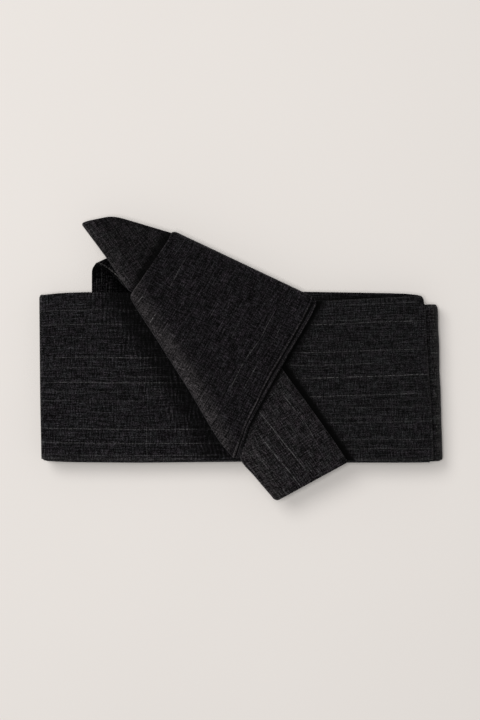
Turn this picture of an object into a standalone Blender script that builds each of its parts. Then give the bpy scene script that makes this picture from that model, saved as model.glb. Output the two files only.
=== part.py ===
# A man's kaku obi: one stiff double-ply band, folded to and fro into a flat stack, with its two
# ends tied over the top of the stack in a flat knot. It lies on a table, knot upwards.
#
# Lengths are in millimetres until a mesh is made. X runs along the stack, Y across it, Z is up,
# and the origin is on the table, under the middle of the whole folded sash. North is +Y.

import math

import bpy
from mathutils import Vector

MM = 0.001

# The band: two plies of cloth, one long edge a fold and the other sewn shut.
BAND_THICK = 1.2
HALF = BAND_THICK / 2
SEAM_GAP = 0.3
STEP_UP = BAND_THICK + SEAM_GAP
TURN = STEP_UP / 2

# The stack: hidden layers pressed together, then the layers that show.
HIDDEN_COUNT = 13
HIDDEN_PITCH = 1.1
CORE_TOP = HIDDEN_COUNT * HIDDEN_PITCH
UNDER_LEVEL = CORE_TOP - HALF
LEFT_LEVEL = CORE_TOP + SEAM_GAP + HALF
RIGHT_LEVEL = LEFT_LEVEL + STEP_UP
RETURN_LEVEL = RIGHT_LEVEL + STEP_UP
FOLD_RETURN = 12.0

# The knot's ends stand out past the stack's long edges and sink a little there.
NORTH_EDGE = 38.8
SOUTH_EDGE = -60.4
NORTH_DROOP = {"fall": 2.5, "reach": 44.0}
SOUTH_DROOP = {"fall": 2.0, "reach": 22.0}

# Corners of the hidden layers in plan, anticlockwise.
CORE_CORNERS = (
    {"x": -115.2, "y": -59.6, "radius": 3.0},
    {"x": 114.0, "y": -59.6, "radius": 3.0},
    {"x": 110.2, "y": 30.6, "radius": 4.0},
    {"x": 99.0, "y": 37.0, "radius": 6.0},
    {"x": -116.2, "y": 37.4, "radius": 3.0},
)
CORNER_STEPS = 4
PAIR_GROOVE = 1.3
LAYER_GROOVE = 0.35

# One row for each hidden layer, lowest first: how far its left fold and long edges are pulled in.
HIDDEN_LAYERS = (
    {"left": 0.6, "north": 0.3, "south": 0.2},
    {"left": 0.6, "north": 0.9, "south": 0.6},
    {"left": 0.1, "north": 0.4, "south": 0.1},
    {"left": 0.1, "north": 0.0, "south": 0.7},
    {"left": 0.9, "north": 0.8, "south": 0.3},
    {"left": 0.9, "north": 0.5, "south": 0.0},
    {"left": 0.3, "north": 1.1, "south": 0.5},
    {"left": 0.3, "north": 0.2, "south": 0.8},
    {"left": 1.2, "north": 0.6, "south": 0.2},
    {"left": 1.2, "north": 0.1, "south": 0.6},
    {"left": 0.5, "north": 0.5, "south": 0.1},
    {"left": 0.5, "north": 0.3, "south": 0.4},
    {"left": 1.0, "north": 0.7, "south": 0.3},
)

# Long edges of the left panel, which runs under everything to the right end, and its left fold.
LEFT_PANEL_EDGES = (
    {"x": -117.0, "north": 36.8, "south": -59.7},
    {"x": -106.0, "north": 38.2, "south": -60.5},
    {"x": -88.0, "north": 38.7, "south": -60.8},
    {"x": -60.0, "north": 38.0, "south": -61.0},
    {"x": 0.0, "north": 38.6, "south": -60.4},
    {"x": 35.0, "north": 38.9, "south": -59.9},
    {"x": 94.0, "north": 37.9, "south": -59.6},
)
LEFT_FOLD = (
    {"y": -60.0, "x": -116.8},
    {"y": -24.0, "x": -117.6},
    {"y": 37.0, "x": -118.1},
)

# Long edges and fold of the right panel, which lies on the left one.
RIGHT_PANEL_EDGES = (
    {"x": -48.0, "north": 37.6, "south": -60.6},
    {"x": 0.0, "north": 34.4, "south": -60.7},
    {"x": 45.0, "north": 33.4, "south": -60.8},
    {"x": 104.0, "north": 36.3, "south": -60.4},
    {"x": 112.0, "north": 35.4, "south": -60.1},
)
RIGHT_FOLD = (
    {"y": -59.0, "x": 112.3},
    {"y": -36.0, "x": 111.2},
    {"y": 13.0, "x": 108.0},
    {"y": 35.0, "x": 107.1},
)

# The outer right fold wraps the right end of all the hidden layers.
OUTER_FOLD = ({"y": -60.4, "x": 118.2}, {"y": 31.4, "x": 115.2})
OUTER_NOSE = 4.6
OUTER_LEFT = 72.0
OUTER_SLANT = 1.5

# The tail is the band folded in half along its length. It runs straight, from the ear at its
# head to its free end: along is measured from where its straight edge starts, across from there
# towards its fold.
TAIL_THICK = 2 * BAND_THICK + SEAM_GAP
TAIL_TURN = (TAIL_THICK - BAND_THICK) / 2
TAIL_UNDERSIDE = 20.7
TAIL_HEAD = Vector((-30.0, 70.2))
TAIL_FOOT = Vector((61.5, -59.8))
TAIL_RUN = (TAIL_FOOT - TAIL_HEAD).normalized()
TAIL_SIDE = Vector((TAIL_RUN.y, -TAIL_RUN.x))
TAIL_SPLIT = 62.0
TAIL_STATIONS = 12
EAR_END = (
    {"across": 0.0, "along": 9.5},
    {"across": 7.0, "along": -2.4},
    {"across": 8.6, "along": -9.6},
    {"across": 30.2, "along": -36.3},
    {"across": 46.3, "along": -42.0},
)
EAR_CROWN = 1.8
EAR_MOUTH = {"along": 13.0, "slant": 0.37, "ease": 14.0}
TAIL_END = ({"across": 0.0, "along": 159.0}, {"across": 47.5, "along": 153.8})
TAIL_WIDTHS = (
    {"along": -42.0, "width": 46.3},
    {"along": -18.0, "width": 46.5},
    {"along": 5.5, "width": 46.9},
    {"along": 10.5, "width": 42.0},
    {"along": 60.0, "width": 45.0},
    {"along": 116.0, "width": 48.0},
    {"along": 124.5, "width": 51.0},
    {"along": 131.0, "width": 49.6},
    {"along": 154.0, "width": 47.5},
)
TAIL_HEIGHTS = (
    {"along": 60.0, "fall": 0.0},
    {"along": 110.0, "fall": 1.7},
    {"along": 125.0, "fall": 2.3},
    {"along": 160.0, "fall": 2.4},
)

# The wrap: folded up from the right panel, over the tail, and under at its top fold.
WRAP_FOLD = (Vector((-65.2, 36.4)), Vector((-5.2, -58.4)))
WRAP_TOP = (Vector((-39.8, 74.4)), Vector((44.4, 34.6)))
WRAP_GAP = 0.65
WRAP_FLANGE = 10.0
WRAP_RETURN = {"left": 5.0, "right": 18.0}
WRAP_DROP = {"fall": 4.6, "reach": 40.0}
WRAP_PROBE = 4.0

# The rising strand is the doubled band behind the stack's north edge. It leaves the stack at its
# root, folds over at its top, and goes into the knot beside the tail.
STRAND_THICK = 2 * BAND_THICK
STRAND_ROOT = (Vector((-87.1, 37.8)), Vector((-50.0, 37.8)))
STRAND_TOP = (Vector((-87.2, 55.8)), Vector((-50.0, 71.6)))
STRAND_UNDER = 12.0
STRAND_OVER = 16.9
STRAND_PATH = (
    {"along": -8.0, "left": 49.6, "right": 15.0, "level": 16.9},
    {"along": 2.0, "left": 48.0, "right": 15.0, "level": 17.4},
    {"along": 9.0, "left": 41.2, "right": 15.0, "level": 18.9},
    {"along": 34.0, "left": 41.4, "right": 15.0, "level": 18.9},
)

CHARCOAL = (0.012, 0.0115, 0.0125)
CLOTH_ROUGHNESS = 0.92


def clear_scene():
    for obj in list(bpy.data.objects):
        bpy.data.objects.remove(obj, do_unlink=True)


def new_collection(name):
    collection = bpy.data.collections.new(name)
    bpy.context.scene.collection.children.link(collection)
    return collection


def cloth_material(name, shade):
    """Charcoal cloth, a little lighter or darker from piece to piece."""
    material = bpy.data.materials.new(name)
    material.use_nodes = True
    shader = material.node_tree.nodes["Principled BSDF"]
    shader.inputs["Base Color"].default_value = (*(shade * part for part in CHARCOAL), 1.0)
    shader.inputs["Roughness"].default_value = CLOTH_ROUGHNESS
    shader.inputs["Metallic"].default_value = 0.0
    return material


def mix(low, high, share):
    return low + (high - low) * share


def spread(low, high, steps):
    return [mix(low, high, i / steps) for i in range(steps + 1)]


def ease(share):
    """Zero below 0, one above 1, and a smooth rise between."""
    share = min(max(share, 0.0), 1.0)
    return share * share * (3 - 2 * share)


def read_off(rows, key, value, at):
    """A value at one place along a table of rows, straight between rows and held past its ends."""
    if at <= rows[0][key]:
        return rows[0][value]
    for low, high in zip(rows, rows[1:]):
        if at <= high[key]:
            return mix(low[value], high[value], (at - low[key]) / (high[key] - low[key]))
    return rows[-1][value]


def across_band(edges, x, share):
    """Y of the place this share of the way from the south edge to the north edge."""
    return mix(read_off(edges, "x", "south", x), read_off(edges, "x", "north", x), share)


def half_turn(steps):
    """Angles of a half turn: straight down, through the nose of a fold, to straight up."""
    return [math.radians(angle) for angle in spread(-90.0, 90.0, steps)]


def north_droop(y):
    return NORTH_DROOP["fall"] * (max(y - NORTH_EDGE, 0.0) / NORTH_DROOP["reach"]) ** 2


def south_droop(y):
    return SOUTH_DROOP["fall"] * (max(SOUTH_EDGE - y, 0.0) / SOUTH_DROOP["reach"]) ** 2


def wall(name, rows, thick, shade, collection):
    """A cloth wall: a grid of mid-surface points, given its thickness evenly on both sides."""
    columns = len(rows[0])
    faces = []
    for i in range(len(rows) - 1):
        for j in range(columns - 1):
            corner = i * columns + j
            faces.append((corner, corner + 1, corner + columns + 1, corner + columns))
    mesh = bpy.data.meshes.new(name)
    mesh.from_pydata([point * MM for row in rows for point in row], [], faces)
    mesh.materials.append(cloth_material(name, shade))
    obj = bpy.data.objects.new(name, mesh)
    collection.objects.link(obj)
    solidify = obj.modifiers.new("cloth", "SOLIDIFY")
    solidify.thickness = thick * MM
    solidify.offset = 0.0
    solidify.use_even_offset = True
    return obj


# ---- the hidden layers

def rounded_outline(corners):
    """A closed outline in plan, with a short curve at each corner."""
    points = []
    for index, corner in enumerate(corners):
        before = corners[index - 1]
        after = corners[(index + 1) % len(corners)]
        here = Vector((corner["x"], corner["y"]))
        arrive = (here - Vector((before["x"], before["y"]))).normalized()
        leave = (Vector((after["x"], after["y"])) - here).normalized()
        start = here - arrive * corner["radius"]
        end = here + leave * corner["radius"]
        for share in spread(0.0, 1.0, CORNER_STEPS):
            points.append(start.lerp(here, share).lerp(here.lerp(end, share), share))
    return points


def nose_setback(z):
    """How far the right end of the stack is rounded back at this height."""
    off_middle = min(abs(2 * z / CORE_TOP - 1), 1.0)
    return OUTER_NOSE * (1 - math.sqrt(1 - off_middle * off_middle))


def core_ring(row, z, groove):
    """The outline of one hidden layer: each side pulled in by its own amount and by the groove."""
    corners = []
    for corner in CORE_CORNERS:
        left = corner["x"] < 0
        south = corner["y"] < 0
        in_x = row["left"] + groove if left else -0.5 * nose_setback(z) - LAYER_GROOVE
        in_y = row["south"] + groove if south else -row["north"] - groove
        corners.append({"x": corner["x"] + in_x, "y": corner["y"] + in_y, "radius": corner["radius"]})
    return [Vector((*point, z)) for point in rounded_outline(corners)]


def core_rings():
    """Rings from the table up: each layer is full at its middle and grooved where two meet."""
    rings = [core_ring(HIDDEN_LAYERS[0], 0.0, LAYER_GROOVE)]
    for index, row in enumerate(HIDDEN_LAYERS):
        above = HIDDEN_LAYERS[min(index + 1, HIDDEN_COUNT - 1)]
        between = {side: mix(row[side], above[side], 0.5) for side in row}
        groove = PAIR_GROOVE if index % 2 == 1 else LAYER_GROOVE
        rings.append(core_ring(row, (index + 0.5) * HIDDEN_PITCH, 0.0))
        rings.append(core_ring(between, (index + 1) * HIDDEN_PITCH, groove))
    return rings


def core_mesh():
    rings = core_rings()
    count = len(rings[0])
    faces = [tuple(reversed(range(count)))]
    for level in range(len(rings) - 1):
        for side in range(count):
            low = level * count + side
            beside = level * count + (side + 1) % count
            faces.append((low, beside, beside + count, low + count))
    top = (len(rings) - 1) * count
    faces.append(tuple(range(top, top + count)))
    mesh = bpy.data.meshes.new("stack_core")
    mesh.from_pydata([point * MM for ring in rings for point in ring], [], faces)
    return mesh


def cutter(name, low, high, collection):
    """A box that makes room in the core for a layer folded round it."""
    bpy.ops.mesh.primitive_cube_add(size=1.0)
    box = bpy.context.object
    box.name = name
    box.location = (Vector(low) + Vector(high)) / 2 * MM
    box.scale = (Vector(high) - Vector(low)) * MM
    box.hide_render = True
    box.display_type = "WIRE"
    for owner in list(box.users_collection):
        owner.objects.unlink(box)
    collection.objects.link(box)
    return box


def stack_core(sash, cutters):
    mesh = core_mesh()
    mesh.materials.append(cloth_material("stack_core", 0.85))
    core = bpy.data.objects.new("stack_core", mesh)
    sash.objects.link(core)
    far = 2 * abs(LEFT_FOLD[0]["x"])
    left_end = LEFT_FOLD[0]["x"] + FOLD_RETURN + SEAM_GAP
    outer_end = OUTER_LEFT - SEAM_GAP
    rooms = {
        "room_left_fold": ((-far, -far, CORE_TOP - STEP_UP), (left_end, far, CORE_TOP + STEP_UP)),
        "room_outer_top": ((outer_end, -far, CORE_TOP - STEP_UP), (far, far, CORE_TOP + STEP_UP)),
        "room_outer_foot": ((outer_end, -far, -STEP_UP), (far, far, STEP_UP)),
    }
    for name, (low, high) in rooms.items():
        cut = core.modifiers.new(name, "BOOLEAN")
        cut.operation = "DIFFERENCE"
        cut.solver = "EXACT"
        cut.object = cutter(name, low, high, cutters)
    return core


# ---- the panels of the stack

def left_panel(sash):
    """The top full-length layer, with its left fold and a short return under itself."""
    edges = LEFT_PANEL_EDGES
    right_end = RIGHT_FOLD[-1]["x"] - FOLD_RETURN - SEAM_GAP
    stations = [right_end] + [edge["x"] for edge in reversed(edges[1:-1])]
    rows = []
    for share in spread(0.0, 1.0, 10):
        row = [Vector((x, across_band(edges, x, share), LEFT_LEVEL)) for x in stations]
        y = across_band(edges, edges[0]["x"], share)
        turn_x = read_off(LEFT_FOLD, "y", "x", y) + TURN + HALF
        for angle in reversed(half_turn(6)):
            x = turn_x - TURN * math.cos(angle)
            row.append(Vector((x, y, LEFT_LEVEL - TURN + TURN * math.sin(angle))))
        row.append(Vector((LEFT_FOLD[0]["x"] + FOLD_RETURN, y, UNDER_LEVEL)))
        rows.append(row)
    return wall("left_front_panel", rows, BAND_THICK, 1.05, sash)


def right_panel(sash):
    """The layer that lies on the left panel and turns under it at the right fold."""
    edges = RIGHT_PANEL_EDGES
    stations = 5
    rows = []
    for share in spread(0.0, 1.0, 10):
        start = wrap_flange_edge(1 - share) + Vector((SEAM_GAP, 0.0))
        y = across_band(edges, edges[-1]["x"], share)
        turn_x = read_off(RIGHT_FOLD, "y", "x", y) - TURN - HALF
        row = [Vector((*start, RIGHT_LEVEL))]
        for part in spread(0.0, 1.0, stations)[1:-1]:
            x = mix(start.x, turn_x, part)
            straight = across_band(edges, x, share)
            row.append(Vector((x, mix(start.y, straight, ease(3 * part)), RIGHT_LEVEL)))
        for angle in reversed(half_turn(6)):
            x = turn_x + TURN * math.cos(angle)
            row.append(Vector((x, y, RIGHT_LEVEL - TURN + TURN * math.sin(angle))))
        row.append(Vector((RIGHT_FOLD[-1]["x"] - FOLD_RETURN, y, LEFT_LEVEL)))
        rows.append(row)
    return wall("right_front_panel", rows, BAND_THICK, 1.0, sash)


def outer_fold(sash):
    """The layer that wraps the right end of the stack, from its top round to the table."""
    south, north = OUTER_FOLD
    middle = CORE_TOP / 2
    rows = []
    for share in spread(0.0, 1.0, 6):
        y = mix(south["y"], north["y"], share)
        turn_x = mix(south["x"], north["x"], share) - OUTER_NOSE - HALF
        row = [Vector((OUTER_LEFT, y, HALF))]
        for angle in half_turn(12):
            x = turn_x + OUTER_NOSE * math.cos(angle)
            row.append(Vector((x, y, middle + (middle - HALF) * math.sin(angle))))
        row.append(Vector((OUTER_LEFT, y + OUTER_SLANT, UNDER_LEVEL)))
        rows.append(row)
    return wall("outer_right_fold", rows, BAND_THICK, 0.95, sash)


# ---- the tail

def tail_point(along, across):
    return TAIL_HEAD + along * TAIL_RUN + across * TAIL_SIDE


def tail_underside(along, y):
    fall = read_off(TAIL_HEIGHTS, "along", "fall", along)
    return TAIL_UNDERSIDE - fall - north_droop(y) - south_droop(y)


def tail_section():
    """Pairs of share across and angle: the under wall, the fold at the far edge, the upper wall."""
    under = [(part, math.radians(-90.0)) for part in spread(0.0, 1.0, 6)[:-1]]
    fold = [(1.0, angle) for angle in half_turn(6)]
    upper = [(part, math.radians(90.0)) for part in spread(1.0, 0.0, 6)[1:]]
    return under + fold + upper


def tail_wall(name, start_at, end_at, crown, shade, sash):
    """A stretch of the half-folded tail between two end lines, open along its straight edge."""
    rows = []
    for share in spread(0.0, 1.0, TAIL_STATIONS):
        row = []
        for part, angle in tail_section():
            along = mix(start_at(part), end_at(part), share)
            flat_width = read_off(TAIL_WIDTHS, "along", "width", along) - TAIL_TURN - HALF
            across = part * flat_width + TAIL_TURN * max(math.cos(angle), 0.0)
            place = tail_point(along, across)
            height = tail_underside(along, place.y) + HALF + TAIL_TURN * (1 + math.sin(angle))
            if angle > 0:
                height += crown(along, across)
            row.append(Vector((*place, height)))
        rows.append(row)
    return wall(name, rows, BAND_THICK, shade, sash)


def ear(sash):
    """The tail's head, standing out past the stack, its upper wall puffed up beside the wrap."""
    widest = EAR_END[-1]["across"]

    def head(part):
        return read_off(EAR_END, "across", "along", part * widest)

    def crown(along, across):
        past_mouth = ease((EAR_MOUTH["slant"] * across - along - EAR_MOUTH["along"]) / EAR_MOUTH["ease"])
        inside = math.sin(math.pi * min(max(across / widest, 0.0), 1.0))
        return EAR_CROWN * past_mouth * inside

    return tail_wall("tail_ear", head, lambda part: TAIL_SPLIT, crown, 1.0, sash)


def tail_end(sash):
    """The tail's foot, which comes out from under the wrap."""
    widest = TAIL_END[-1]["across"]

    def foot(part):
        return read_off(TAIL_END, "across", "along", part * widest)

    def flat(along, across):
        return 0.0

    return tail_wall("tail_end", lambda part: TAIL_SPLIT + SEAM_GAP, foot, flat, 1.2, sash)


# ---- the wrap

def wrap_level(place):
    """Height of the wrap's mid-surface: over the tail, and sinking towards the panel beside it."""
    offset = place - TAIL_HEAD
    beside = -offset.dot(TAIL_SIDE)
    sunk = WRAP_DROP["fall"] * ease(beside / WRAP_DROP["reach"])
    tail_top = tail_underside(offset.dot(TAIL_RUN), place.y) + TAIL_THICK
    return tail_top + WRAP_GAP + HALF - sunk


def wrap_roll(share):
    """Centre, radius and inward direction of the wrap's lower fold, a share of the way along it."""
    low, high = WRAP_FOLD
    inward = Vector((low.y - high.y, high.x - low.x)).normalized()
    edge = low.lerp(high, share)
    radius = (wrap_level(edge + WRAP_PROBE * inward) - RIGHT_LEVEL) / 2
    return edge + (radius + HALF) * inward, radius, inward


def wrap_flange_edge(share):
    """Where the wrap meets the right panel, which it grows out of."""
    centre, radius, inward = wrap_roll(share)
    return centre + Vector((WRAP_FLANGE, 0.0))


def wide_wrap(sash):
    """The full-width band folded up and over the tail, and under again at its top fold."""
    low, high = WRAP_TOP
    run = (high - low).normalized()
    down = Vector((run.y, -run.x))
    rows = []
    for share in spread(0.0, 1.0, 10):
        centre, radius, inward = wrap_roll(share)
        row = [Vector((*wrap_flange_edge(share), RIGHT_LEVEL))]
        for angle in half_turn(8):
            place = centre - radius * math.cos(angle) * inward
            row.append(Vector((*place, RIGHT_LEVEL + radius * (1 + math.sin(angle)))))
        edge = low.lerp(high, share)
        level = RETURN_LEVEL - north_droop(edge.y)
        turn = (wrap_level(edge + WRAP_PROBE * down) - level) / 2
        top_centre = edge + (turn + HALF) * down
        for part in spread(0.0, 1.0, 9)[1:-1]:
            place = centre.lerp(top_centre, part)
            row.append(Vector((*place, wrap_level(place))))
        for angle in reversed(half_turn(8)):
            place = top_centre - turn * math.cos(angle) * down
            row.append(Vector((*place, level + turn * (1 + math.sin(angle)))))
        place = top_centre + mix(WRAP_RETURN["left"], WRAP_RETURN["right"], share) * down
        row.append(Vector((*place, RETURN_LEVEL - north_droop(place.y))))
        rows.append(row)
    return wall("wide_wrap", rows, BAND_THICK, 0.9, sash)


# ---- the rising strand

def rising_strand(sash):
    root_left, root_right = STRAND_ROOT
    top_left, top_right = STRAND_TOP
    run = (top_right - top_left).normalized()
    back = Vector((run.y, -run.x))
    turn = (STRAND_OVER - STRAND_UNDER) / 2
    rows = []
    for share in spread(0.0, 1.0, 6):
        root = root_left.lerp(root_right, share)
        centre = top_left.lerp(top_right, share) + (turn + STRAND_THICK / 2) * back
        row = [Vector((*root, STRAND_UNDER)), Vector((*root.lerp(centre, 0.5), STRAND_UNDER))]
        for angle in half_turn(8):
            place = centre - turn * math.cos(angle) * back
            row.append(Vector((*place, STRAND_UNDER + turn * (1 + math.sin(angle)))))
        for station in STRAND_PATH:
            across = mix(station["left"], station["right"], share)
            row.append(Vector((*tail_point(station["along"], across), station["level"])))
        rows.append(row)
    return wall("rising_strand", rows, STRAND_THICK, 0.8, sash)


def build():
    clear_scene()
    sash = new_collection("obi sash")
    cutters = new_collection("cutters")
    stack_core(sash, cutters)
    outer_fold(sash)
    left_panel(sash)
    right_panel(sash)
    rising_strand(sash)
    ear(sash)
    tail_end(sash)
    wide_wrap(sash)


build()
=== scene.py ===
# The looks of a man's kaku obi: one stiff double band, folded into a flat stack with its two ends
# tied over the top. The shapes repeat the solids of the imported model, so all sizes are in
# millimetres here too and become metres when a mesh is made. X runs along the stack, north is +Y.

import math
import bmesh
import bpy
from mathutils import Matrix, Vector, noise


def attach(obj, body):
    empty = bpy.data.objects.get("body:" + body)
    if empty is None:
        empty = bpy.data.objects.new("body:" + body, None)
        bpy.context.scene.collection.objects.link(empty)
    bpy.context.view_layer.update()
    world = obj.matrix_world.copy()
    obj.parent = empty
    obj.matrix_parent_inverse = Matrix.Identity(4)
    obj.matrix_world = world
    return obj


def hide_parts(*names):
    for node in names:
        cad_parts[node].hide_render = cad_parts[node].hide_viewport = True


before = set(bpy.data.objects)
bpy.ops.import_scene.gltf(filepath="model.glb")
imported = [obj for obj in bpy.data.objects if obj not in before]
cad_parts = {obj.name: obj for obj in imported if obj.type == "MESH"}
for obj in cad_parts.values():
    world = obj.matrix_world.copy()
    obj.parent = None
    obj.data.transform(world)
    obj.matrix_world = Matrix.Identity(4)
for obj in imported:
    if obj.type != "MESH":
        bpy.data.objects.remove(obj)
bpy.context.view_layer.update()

mm = 0.001

# the band and its layers

band = {
    "width": 98.0,
    "thick": 1.2,
    "ply": 0.28,        # thickness of one ply of cloth
    "lip": 0.28,        # radius of a turned-in edge
    "turnIn": 8.0,      # what is turned in at the sewn edge
    "lipStep": 1.1,     # how far the upper turned-in edge stands back from the lower one
    "gap": 0.3,
    "fine": 1.0,        # mesh spacing where the cloth shows
    "coarse": 9.0,
    "nudge": 0.15,      # how far to either side the cloth's slope is felt
    "edgeSoft": 6.0,    # the length over which the rows of an edge are rounded off
    "foldSoft": 10.0,   # and those of a fold
    "paintedTo": -2.0,     # the painted light and shade lie on the upper ply and this far round the plain edge
}
half = band["thick"] / 2
stepUp = band["thick"] + band["gap"]
turn = stepUp / 2

stack = {
    "layers": 13,
    "pitch": 1.1,
    "north": 38.8,
    "south": -60.4,
    "northDroop": (2.5, 44.0),   # fall, and the reach over which it comes
    "southDroop": (2.0, 22.0),
    "settle": 0.045,             # share of its height that the stack loses at its edges
    "settleReach": 16.0,
    "settleHalf": (117.0, 49.4),  # half its length and half its depth there
    "cutBack": 6.2,              # how far the lower layers' north edge stands back at the right end
}
coreTop = stack["layers"] * stack["pitch"]
leftLevel = coreTop + band["gap"] + half
rightLevel = leftLevel + stepUp
returnLevel = rightLevel + stepUp


def mix(low, high, share):
    return low + (high - low) * share


def steps(low, high, pitch):
    count = max(1, math.ceil(abs(high - low) / pitch - 1e-6))
    return [mix(low, high, i / count) for i in range(count + 1)]


def stations(*runs):
    # rows through runs of (from, to, pitch), each run starting where the last one ends
    return [runs[0][0]] + [at for low, high, pitch in runs for at in steps(low, high, pitch)[1:]]


def ease(share):
    share = min(max(share, 0.0), 1.0)
    return share * share * (3 - 2 * share)


def readOff(rows, at):
    # rows of (place, value), straight between them and held past the ends
    if at <= rows[0][0]:
        return rows[0][1]
    for low, high in zip(rows, rows[1:]):
        if at <= high[0]:
            return mix(low[1], high[1], (at - low[0]) / (high[0] - low[0]))
    return rows[-1][1]


def readSoft(rows, at, reach):
    # the same with its corners rounded off
    return sum(readOff(rows, at + reach * k / 3) for k in range(-3, 4)) / 7


def waver(x, y, pitch, seed):
    return noise.noise(Vector((x / pitch, y / pitch, seed)))


def wavers(x, y, *waves):
    # each wave is (height, pitch, seed)
    return sum(high * waver(x, y, pitch, seed) for high, pitch, seed in waves)


def northDroop(y):
    fall, reach = stack["northDroop"]
    return fall * (max(y - stack["north"], 0.0) / reach) ** 2


def southDroop(y):
    fall, reach = stack["southDroop"]
    return fall * (max(stack["south"] - y, 0.0) / reach) ** 2


def settled(place):
    # the whole stack sinks a little towards its long edges and its ends
    reach = stack["settleReach"]
    halfLength, halfDepth = stack["settleHalf"]
    middleY = (stack["north"] + stack["south"]) / 2
    nearX = ease((abs(place.x) - halfLength + reach) / reach)
    nearY = ease((abs(place.y - middleY) - halfDepth + reach) / reach)
    share = 1 - stack["settle"] * max(nearX, nearY)
    return Vector((place.x, place.y, place.z * share))


def cornerPull(distance, radius):
    # how far an end stands back this far from its corner, so that the corner is round
    if distance >= radius:
        return 0.0
    return radius - math.sqrt(radius * radius - (radius - max(distance, 0.0)) ** 2)


def bothCorners(across, width, radius):
    return cornerPull(across, radius) + cornerPull(width - across, radius)


def sideways(place, start, end):
    # how far a place lies to the left of the way from start to end
    way = (end - start).normalized()
    return (place.xy - start).dot(Vector((-way.y, way.x)))


def near(distance, reach):
    # 1 at and behind an edge, falling to 0 at the reach in front of it
    return 1 - ease(distance / reach)


def paintedMark(mark, distance):
    # a painted mark of light, dark where it is below 0, is (how light, how far it holds, how far past
    # that it fades away)
    light, holds, fades = mark
    return light * near(distance - holds, fades)


def swell(piece, x, y, across, width):
    # how far the upper ply rises between a piece's edges
    puffed = piece["swell"]
    inside = ease(across / puffed["reach"][0]) * ease((width - across) / puffed["reach"][1])
    return inside * (puffed["flat"] + wavers(x, y, *puffed["waves"]))


# the band's section and how a stretch of it is laid

def arc(across, height, radius, start, end):
    # points round a centre, from one angle to another
    angles = [math.radians(angle) for angle in range(start, end + 1, 30)]
    return [(across + radius * math.cos(a), height + radius * math.sin(a)) for a in angles]


def bandSection(width=band["width"], thick=band["thick"], lipStep=band["lipStep"], fineTo=math.inf,
                lowerLip=band["lip"]):
    # Rows of (across from the plain edge, height over the middle, way round the cut), from inside
    # the upper turned-in edge, over the upper ply, round the plain edge, back along the lower ply.
    lip, turnIn = band["lip"], band["turnIn"]
    flat = thick / 2
    upperEnd = width - lipStep - lip
    lowerEnd = width - lowerLip
    rows = [(upperEnd - turnIn, flat - 2 * lip)]
    rows += arc(upperEnd, flat - lip, lip, -90, 90)
    marks = sorted({upperEnd, min(fineTo, upperEnd), flat}, reverse=True)
    for high, low in zip(marks, marks[1:]):
        spacing = band["fine"] if (high + low) / 2 <= fineTo else band["coarse"]
        rows += [(at, flat) for at in steps(high, low, spacing)[1:]]
    rows += arc(flat, 0.0, flat, 120, 270)
    rows += [(at, -flat) for at in steps(flat, lowerEnd, band["coarse"])[1:]]
    rows += arc(lowerEnd, lowerLip - flat, lowerLip, -60, 120)
    # and back in between the plies, past the groove under the upper lip
    groove = upperEnd + lip - 0.1
    rows.append((mix(groove, rows[-1][0], 0.6), mix(-flat + 2 * lip, rows[-1][1], 0.8)))
    rows.append((groove, -flat + 1.5 * lip))
    rows.append((upperEnd - turnIn, -flat + 1.8 * lip))
    way = [0.0]
    for before, after in zip(rows, rows[1:]):
        way.append(way[-1] + math.dist(before, after))
    crest = way[min(range(len(rows)), key=lambda i: rows[i][0])]
    return [(across, height, crest - w) for (across, height), w in zip(rows, way)]


def lipWays(section):
    # where the crests of the upper and of the lower turned-in edge lie on the cut
    upper = max((row for row in section if row[2] > 0), key=lambda row: row[0])
    lower = max((row for row in section if row[2] < 0), key=lambda row: row[0])
    return upper[2], lower[2]


def layBand(bm, uvLayer, alongs, section, mid, warpWay, origin=Vector((0.0, 0.0)), from0=0,
            puff=None, pinch=None, paintedShading=None):
    # Lays one stretch of band: alongs are the stations that mid knows, and mid gives the middle of
    # the band's thickness at a station and a place across. warpWay is the threads' way in plan, and
    # the cut's length is measured from the origin at the station from0. puff and pinch give the
    # swell of the upper ply and its share of the thickness, and the last one paints light and shade.
    columns, rows = len(alongs) - 1, len(section) - 1
    made = bmesh.ops.create_grid(bm, x_segments=columns, y_segments=rows, size=1.0)["verts"]
    spot = {v: (round((v.co.x + 1) / 2 * columns), round((v.co.y + 1) / 2 * rows)) for v in made}
    acrosses = sorted({across for across, _, _ in section})
    middle, normal, run = {}, {}, {}
    for across in acrosses:
        total = 0.0
        for i, s in enumerate(alongs):
            middle[i, across] = mid(s, across)
            if i:
                total += (middle[i, across] - middle[i - 1, across]).length
            run[i, across] = total
        start = (middle[from0, across].xy - origin).dot(warpWay) - run[from0, across]
        for i, s in enumerate(alongs):
            run[i, across] += start
            before = middle[max(i - 1, 0), across]
            after = middle[min(i + 1, columns), across]
            acrossWay = mid(s, across + band["nudge"]) - mid(s, across - band["nudge"])
            normal[i, across] = (after - before).cross(acrossWay).normalized()
    probe = normal[from0, acrosses[len(acrosses) // 2]]
    flip = -1.0 if probe.z < 0 else 1.0
    shadingLayer = bm.verts.layers.float["paintedShading"]
    flat = {}
    for v, (i, j) in spot.items():
        across, height, way = section[j]
        share = pinch(alongs[i], across) if pinch else 1.0
        lift = height * share
        if puff and height > 0 and way > 0:
            lift += puff(alongs[i], across)
        place = middle[i, across] + normal[i, across] * flip * lift
        if paintedShading and way > band["paintedTo"]:
            v[shadingLayer] = paintedShading(alongs[i], across, place)
        v.co = settled(place) * mm
        flat[v] = (run[i, across] * mm, way * mm)
    faces = {f for v in made for f in v.link_faces}
    for face in faces:
        for loop in face.loops:
            loop[uvLayer].uv = flat[loop.vert]
        face.smooth = True
    return list(faces)


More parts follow.
